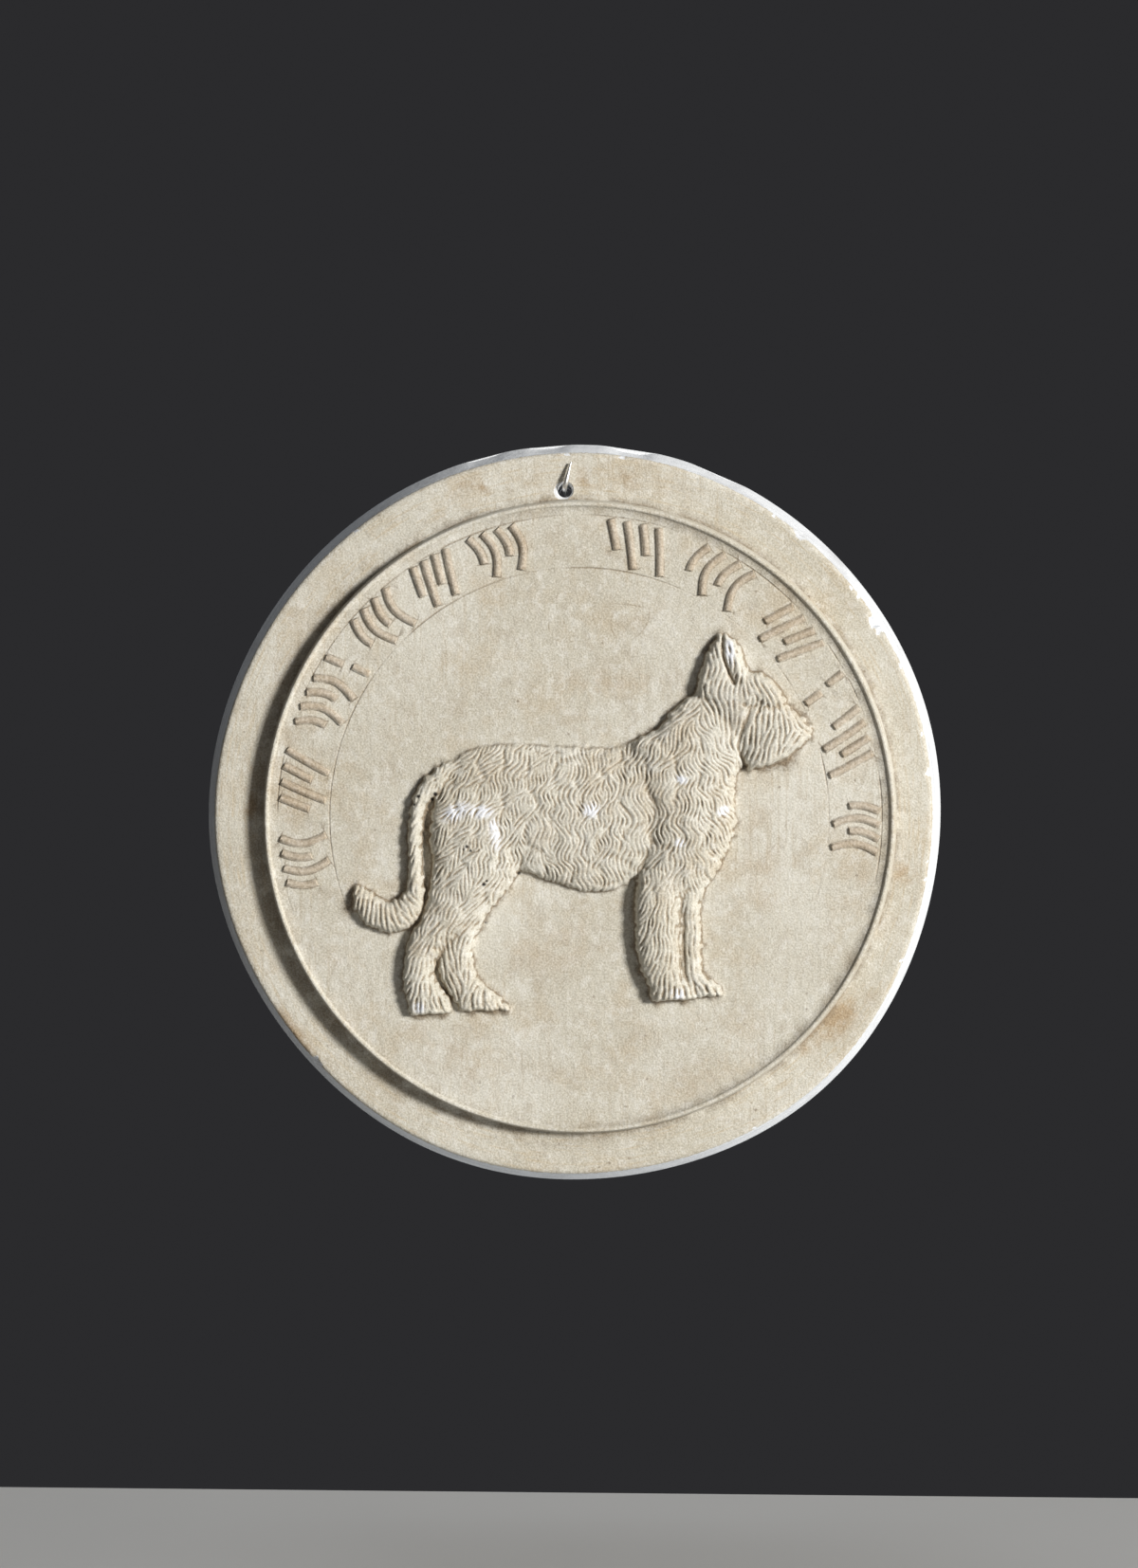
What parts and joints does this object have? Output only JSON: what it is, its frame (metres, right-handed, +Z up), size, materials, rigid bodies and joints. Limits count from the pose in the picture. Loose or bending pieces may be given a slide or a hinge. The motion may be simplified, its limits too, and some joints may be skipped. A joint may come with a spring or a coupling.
{
  "type": "wall plaque",
  "caption": "Round cast plaster medallion with a rough-coated standing dog in relief on a raised drum, a row of raised strokes along its upper edge and a wire hook in a hanging hole.",
  "frame": {"origin": "on the flat back, on the axis of the raised drum, where the plaque lies against the wall", "axes": "+Y out of the back into the wall, -Y out of the relief towards the viewer, +Z up towards the hanging hole, +X to the viewer's right"},
  "size_m": [0.2615, 0.0298, 0.2625],
  "materials": {
    "patinated_plaster": "matte cream patina with brown dirt in the recesses, bare white plaster at the side wall, back and chips",
    "steel_wire": "dull drawn wire"
  },
  "bodies": {
    "root": {"plaque": "patinated_plaster", "hanging_hook": "steel_wire"}
  },
  "joints": []
}
